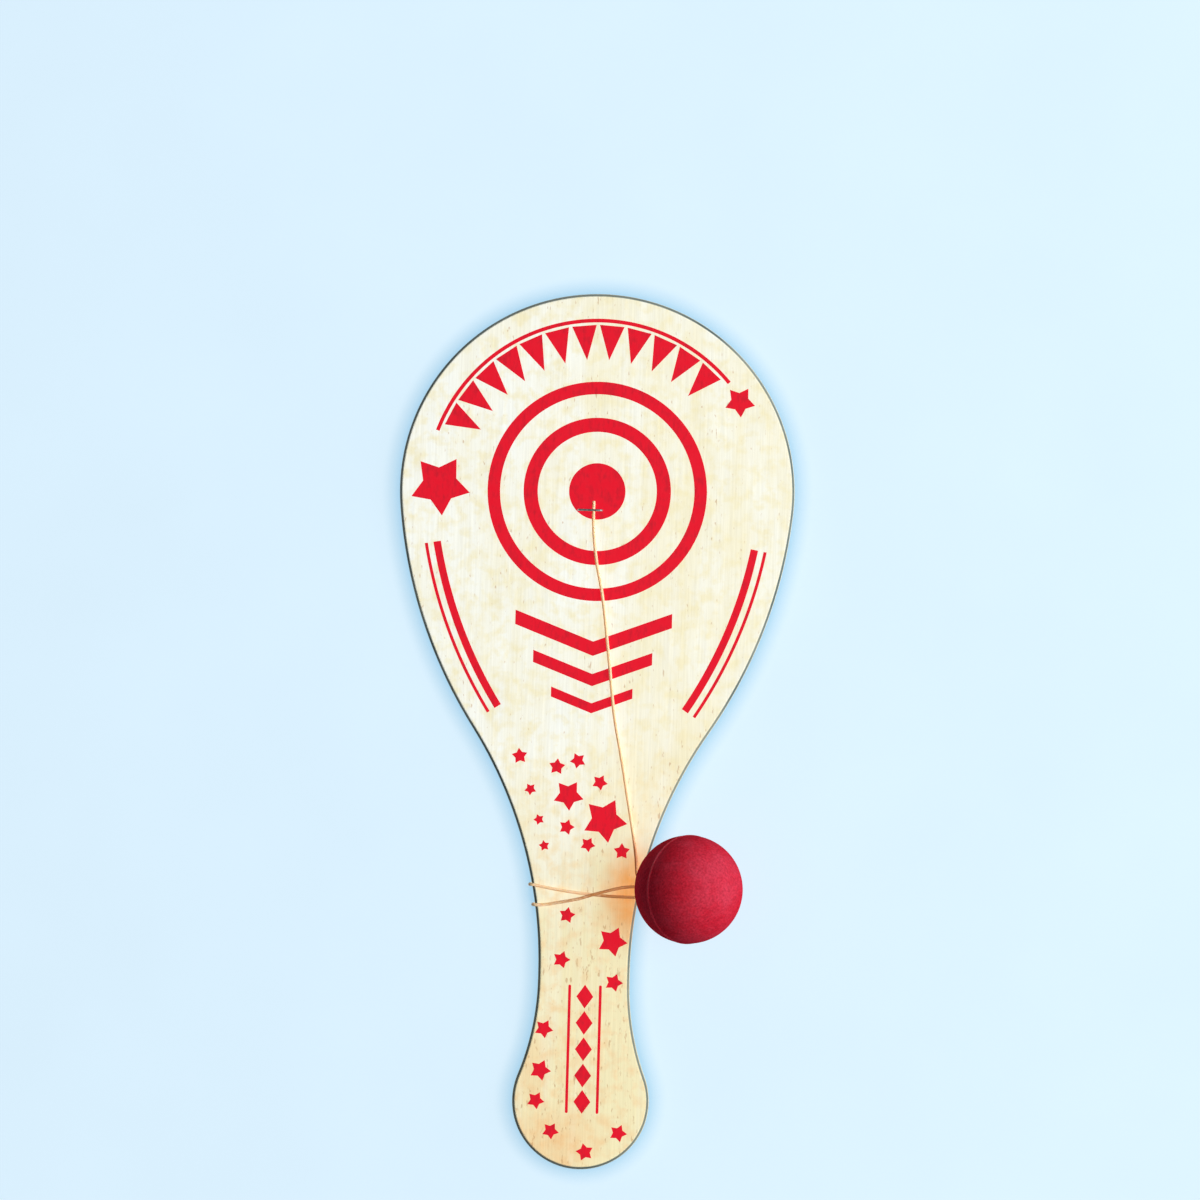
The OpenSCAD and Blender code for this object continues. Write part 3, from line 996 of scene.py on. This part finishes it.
def pennant(s, across, drop):
    """Printed triangular flag about its centre of mass, with its tip up the paddle."""
    part = regular(s, 3, MM)
    part.scale = (across / math.sqrt(3), drop / 1.5, 1)
    return film_up(part, s)


def chevron(s, y, half, drop, thick):
    """Printed chevron that points down the paddle."""
    part = square(s, thick * MM, -half * MM, (y + drop) * MM)
    to_line(part, 1)
    for way in (-1, 1):
        push(half * MM, way * drop * MM, 0)
    return film_up(part, s)


# Operators

class PADDLE_BALL_OT_stage(bpy.types.Operator):
    """Adds the backdrop, the lights and the camera"""
    bl_idname = "paddle_ball.stage"
    bl_label = "Stage"

    def execute(self, context):
        s = context.scene.pb_stage
        middle = Vector((*VIEW_MIDDLE, 0)) * MM + Vector((0, 0, FRONT_Z))
        fresh()
        bpy.ops.object.camera_add(location=middle + Vector((0, 0, s.distance)),
                                  rotation=(0, 0, s.tilt))
        camera = context.object
        camera.name = "camera"
        camera.data.sensor_width = SENSOR
        camera.data.lens = SENSOR * s.distance / s.view_width
        camera.data.clip_end = 50.0
        context.scene.camera = camera

        fresh()
        bpy.ops.mesh.primitive_plane_add(size=2 * s.reach, location=(0, 0, -TOUCH))
        floor = settle(context.object)
        floor.name = "backdrop"
        floor.data.materials.append(light_table(s))

        # The key light is a pair in one place, and only one of them casts shadows: they stay pale
        place = Vector(KEY_AT)
        for name, share, casts in (("key_light", s.shadow, True), ("key_soft", 1 - s.shadow, False)):
            fresh()
            bpy.ops.object.light_add(type="AREA", location=place,
                                     rotation=place.to_track_quat("Z", "Y").to_euler())
            lamp = context.object
            lamp.name = name
            lamp.data.energy = s.key_power * share
            lamp.data.size = s.key_size
            lamp.data.use_shadow = casts

        world = bpy.data.worlds.new("studio")
        context.scene.world = world
        world.use_nodes = True
        feed(world.node_tree, world.node_tree.nodes["Background"], {
            "Color": SKY, "Strength": s.fill})
        context.scene.view_settings.view_transform = "Standard"
        return {"FINISHED"}


class PADDLE_BALL_OT_thread(bpy.types.Operator):
    """Adds the elastic thread: wound run, fold, strand, last bend and knotted end"""
    bl_idname = "paddle_ball.thread"
    bl_label = "Elastic thread"

    def execute(self, context):
        scene = context.scene
        s = scene.pb_thread
        half = s.thickness / 2
        # Both thread finishes are painted darker next to the ball: a painted shadow of the ball, as
        # deep as worn
        powdered = latex(s, "dusted_latex_thread", worn=-0.4, dusty=0.4, reach=18 * MM)
        ball_shaded = latex(s, "ball_shaded_latex_thread", worn=-0.5, dusty=0.2, reach=25 * MM)

        route = wound_route(scene.pb_paddle, s)
        staple_y = scene.pb_staple.height
        wound = tube("elastic_wound_run", route, half, drawn_shares(route, staple_y))
        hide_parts("elastic_face_run", "elastic_winding")
        finish_piece(wound, "paddle", powdered)

        line = strand_line(route[-1], s)
        fold = as_mesh(tube("elastic_fold", line[:FOLD_END + 1], half))
        finish_piece(fold, None, ball_shaded)
        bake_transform(fold)

        strand = as_mesh(tube("elastic_strand_run", line[FOLD_END:], half))
        finish_piece(strand, None, ball_shaded)
        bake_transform(strand)
        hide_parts("elastic_strand", "elastic_lead")

        low = EXIT_AT - Vector((LEAD_END, 0, 0))
        high = EXIT_AT + TO_BALL * BEND_REACH
        bend = [low * (1 - t) ** 2 + EXIT_AT * 2 * t * (1 - t) + high * t * t
                for t in (i / BEND_STEPS for i in range(BEND_STEPS + 1))]
        last = as_mesh(tube("elastic_last_bend", bend, half))
        finish_piece(last, None, ball_shaded)
        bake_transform(last)

        # The tail starts just inside the last bend, and is a little thinner
        tail = knot_line(high - TO_BALL * 2 * TOUCH)
        knotted = as_mesh(tube("elastic_knotted_tail", tail, half * 0.98))
        finish_piece(knotted, "thread_end", ball_shaded)
        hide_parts("elastic_knotted_end")

        return {"FINISHED"}


class PADDLE_BALL_OT_plies(bpy.types.Operator):
    """Adds the three plies of the paddle"""
    bl_idname = "paddle_ball.plies"
    bl_label = "Plies"

    def ply(self, context, level, top, low_round, high_round):
        """One ply between two levels, with its edges rounded and its staple holes drilled."""
        part = paddle_outline(context.scene.pb_paddle, level)
        bpy.ops.mesh.select_all(action="SELECT")
        push(0, 0, top - level)
        outward(part)
        for height, offset in ((level, low_round), (top, high_round)):
            pick(part, "EDGE", lambda a, b: max(abs(a.z - height), abs(b.z - height)) < TOUCH)
            # The rounding along a glue line is too fine to need more than a facet
            segments = 5 if offset > 0.1 * MM else 1
            bpy.ops.mesh.bevel(offset=offset, segments=segments, affect="EDGES",
                               clamp_overlap=False)
        only(part)
        bpy.ops.object.shade_smooth()
        pick(part, "FACE", lambda middle, normal: abs(normal.z) > 0.999)
        bpy.ops.mesh.faces_shade_flat()
        drill(part, context.scene.pb_staple)
        return part

    def execute(self, context):
        s = context.scene.pb_paddle
        face = veneer(s, "bare_basswood_veneer", 1, s.veneer, s.veneer_warm)
        middle = veneer(s, "bare_poplar_core", 0, s.core, s.core)
        rows = (
            ("front_ply", FACE_Z, FRONT_Z, s.glue_round, s.face_round, face, "face_veneer"),
            ("core_ply", CORE_Z, FACE_Z, s.glue_round, s.glue_round, middle, "core_veneer"),
            ("back_ply", BACK_Z, CORE_Z, s.face_round, s.glue_round, face, "face_veneer"),
        )
        for cad, low, high, low_round, high_round, material, slot in rows:
            part = self.ply(context, low, high, low_round, high_round)
            part.name = part.data.name = "paddle_" + cad
            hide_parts(cad)
            finish_piece(part, "paddle", material)
        return {"FINISHED"}


class PADDLE_BALL_OT_print(bpy.types.Operator):
    """Prints the stars, target, pennants, chevrons and stripes on the paddle"""
    bl_idname = "paddle_ball.print"
    bl_label = "Print"

    def pennants(self, s, head):
        """Row of flags that hang from a line round the top of the blade, with their tips inwards."""
        count = 12
        pitch = 9.6
        first = 48.0
        last = first + pitch * (count - 1)
        past = 7
        edge = 53.0
        drop = 11.0
        places = []
        for angle in (first + pitch * i for i in range(count)):
            out = Vector((math.cos(math.radians(angle)), math.sin(math.radians(angle))))
            places.append((*(head / MM + (edge - drop / 3) * out), 1, angle + 90))
        flags = copies(pennant(s, across=7.9, drop=drop), places)
        line = sweep(s, head, near=53.9 * MM, far=55.1 * MM, start=first - past, end=last + past)
        return flags + [line]

    def side_stripes(self, context, s, side, side_r):
        """Stripes along both sides of the blade."""
        lines = []
        for near, far in SIDE_STRIPES:
            right = sweep(s, side, side_r - near * MM, side_r - far * MM, start=-10.5, end=-33)
            only(right)
            bpy.ops.object.duplicate(linked=False)
            left = context.view_layer.objects.active
            left.scale = (-1, 1, 1)
            lines += [right, outward(settle(left))]
        return lines

    def handle_row(self, s):
        """Diamonds between two rules down the handle."""
        pitch = 8.4
        row = [(0.5, -84.5 - pitch * i, 1, 0) for i in range(5)]
        beside = [(x, -101.3, 1, 0) for x in (-4.4, 5.4)]
        return (copies(diamond(s, across=5.4, along=7.6), row)
                + copies(rule(s, across=0.9, along=41), beside))

    def execute(self, context):
        scene = context.scene
        s = scene.pb_print
        ink = printed_ink(s)
        curves = outline_centres(scene.pb_paddle)
        head, _ = curves["head"]
        groups = {
            "print_stars": copies(star(s), STARS),
            "print_target": [disc(s, head.y / MM, *row) for row in RINGS],
            "print_pennants": self.pennants(s, head),
            "print_chevrons": [chevron(s, *row) for row in CHEVRONS],
            "print_side_stripes": self.side_stripes(context, s, *curves["side"]),
            "print_handle_row": self.handle_row(s),
        }
        for name, parts in groups.items():
            piece = join(parts, name)
            if name == "print_target":
                drill(piece, scene.pb_staple)
            finish_piece(piece, "paddle", ink)
        return {"FINISHED"}


class PADDLE_BALL_OT_staple(bpy.types.Operator):
    """Adds the staple, bent from one wire, with its feet clinched behind"""
    bl_idname = "paddle_ball.staple"
    bl_label = "Staple"

    def execute(self, context):
        s = context.scene.pb_staple
        radius = s.wire / 2
        reach = (s.width - s.wire) / 2
        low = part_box("staple")[0].z + radius
        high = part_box("staple")[1].z - radius
        x = -s.middle_x
        y = s.height
        left = x - reach + s.bend
        right = x + reach - s.bend
        fresh()
        bpy.ops.mesh.primitive_circle_add(vertices=20, radius=radius, fill_type="NGON",
                                          location=(x - reach + s.foot, y, low),
                                          rotation=(0, math.pi / 2, 0))
        wire = settle(context.object)
        pick_all(wire)

        def bend(at_x, at_z):
            bpy.ops.mesh.spin(steps=BEND_STEPS, angle=-math.pi / 2, center=(at_x, y, at_z),
                              axis=(0, 1, 0))

        leg = high - low - 2 * s.bend
        push(left - (x - reach + s.foot), 0, 0)
        bend(left, low + s.bend)
        push(0, 0, leg)
        bend(left, high - s.bend)
        push(right - left, 0, 0)
        bend(right, high - s.bend)
        push(0, 0, -leg)
        bend(right, low + s.bend)
        push((x + reach - s.foot) - right, 0, 0)
        outward(wire)
        # Each foot ends in a blunt chisel cut, which leaves this share of its thickness
        blunt = 0.35
        for way in (-1, 1):
            tip = x + way * (reach - s.foot)
            pick(wire, "VERT", lambda p: abs(p.x - tip) < 2 * TOUCH and p.z < low + radius * 1.1)
            bpy.ops.transform.resize(value=(1, 1, blunt), center_override=(tip, y, low))
        shade(wire, 40)
        wire.name = wire.data.name = "bent_staple"
        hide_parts("staple")
        finish_piece(wire, "paddle", steel_wire(s))
        return {"FINISHED"}


class PADDLE_BALL_OT_ball(bpy.types.Operator):
    """Adds the rubber ball, with its mould seam and the bore for the thread"""
    bl_idname = "paddle_ball.ball"
    bl_label = "Ball"

    def execute(self, context):
        s = context.scene.pb_ball
        fresh()
        bpy.ops.mesh.primitive_uv_sphere_add(segments=128, ring_count=64, radius=BALL_R,
                                             location=BALL_AT, rotation=(0, s.seam_lean, 0))
        ball = context.object
        # The seam is raised from the sphere's equator: all rows of its bevel but the outer two
        crown = s.seam_width * 0.32
        pick(ball, "EDGE", lambda a, b: abs(a.z) < TOUCH and abs(b.z) < TOUCH)
        bpy.ops.mesh.bevel(offset=s.seam_width / 2, segments=4, affect="EDGES", profile=0.5)
        pick(ball, "VERT", lambda p: abs(p.z) < crown)
        lift = 1 + s.seam_height / BALL_R
        bpy.ops.transform.resize(value=(lift, lift, lift), center_override=BALL_AT)
        settle(ball)
        outward(ball)

        away = (-TO_BALL).to_track_quat("Z", "Y").to_euler()
        past = 2 * MM
        fresh()
        bpy.ops.mesh.primitive_cylinder_add(
            vertices=32, radius=s.bore / 2, depth=BALL_R + past,
            location=BALL_AT - TO_BALL * (BALL_R / 2 + past / 2), rotation=away)
        carve(ball, settle(context.object))
        fresh()
        bpy.ops.mesh.primitive_uv_sphere_add(segments=32, ring_count=16, radius=s.pocket / 2,
                                             location=BALL_AT)
        carve(ball, settle(context.object))
        # The mouth of the bore is worn round
        worn = 0.2 * MM
        mouth = BALL_AT - TO_BALL * BALL_R
        pick(ball, "EDGE", lambda a, b: all(
            abs((p - mouth).cross(TO_BALL).length - s.bore / 2) < 2 * TOUCH
            and abs((p - BALL_AT).length - BALL_R) < 5 * TOUCH for p in (a, b)))
        bpy.ops.mesh.bevel(offset=worn, segments=2, affect="EDGES")
        shade(ball, 45)
        ball.name = ball.data.name = "rubber_ball"
        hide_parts("ball")
        finish_piece(ball, "ball", rubber(s))
        return {"FINISHED"}


# Operators in the order in which they run, each with its settings
OPERATORS = {
    PADDLE_BALL_OT_stage: "pb_stage",
    PADDLE_BALL_OT_thread: "pb_thread",
    PADDLE_BALL_OT_plies: "pb_paddle",
    PADDLE_BALL_OT_print: "pb_print",
    PADDLE_BALL_OT_staple: "pb_staple",
    PADDLE_BALL_OT_ball: "pb_ball",
}


class PADDLE_BALL_PT_panel(bpy.types.Panel):
    """Lists the pieces and their settings"""
    bl_label = "Paddle ball game"
    bl_idname = "PADDLE_BALL_PT_panel"
    bl_space_type = "VIEW_3D"
    bl_region_type = "UI"
    bl_category = "Paddle ball"

    def draw(self, context):
        for operator, group in OPERATORS.items():
            box = self.layout.box()
            box.operator(operator.bl_idname)
            for name in SETTINGS[group].__annotations__:
                box.prop(getattr(context.scene, group), name)


CLASSES = (*SETTINGS.values(), *OPERATORS, PADDLE_BALL_PT_panel)


def register():
    for kind in CLASSES:
        bpy.utils.register_class(kind)
    for name, kind in SETTINGS.items():
        setattr(bpy.types.Scene, name, PointerProperty(type=kind))


def unregister():
    for name in SETTINGS:
        delattr(bpy.types.Scene, name)
    for kind in reversed(CLASSES):
        bpy.utils.unregister_class(kind)


def main():
    """Builds the stage and every piece."""
    register()
    bpy.ops.paddle_ball.stage()
    bpy.ops.paddle_ball.thread()
    bpy.ops.paddle_ball.plies()
    bpy.ops.paddle_ball.print()
    bpy.ops.paddle_ball.staple()
    bpy.ops.paddle_ball.ball()
    fresh()


if __name__ == "__main__":
    main()
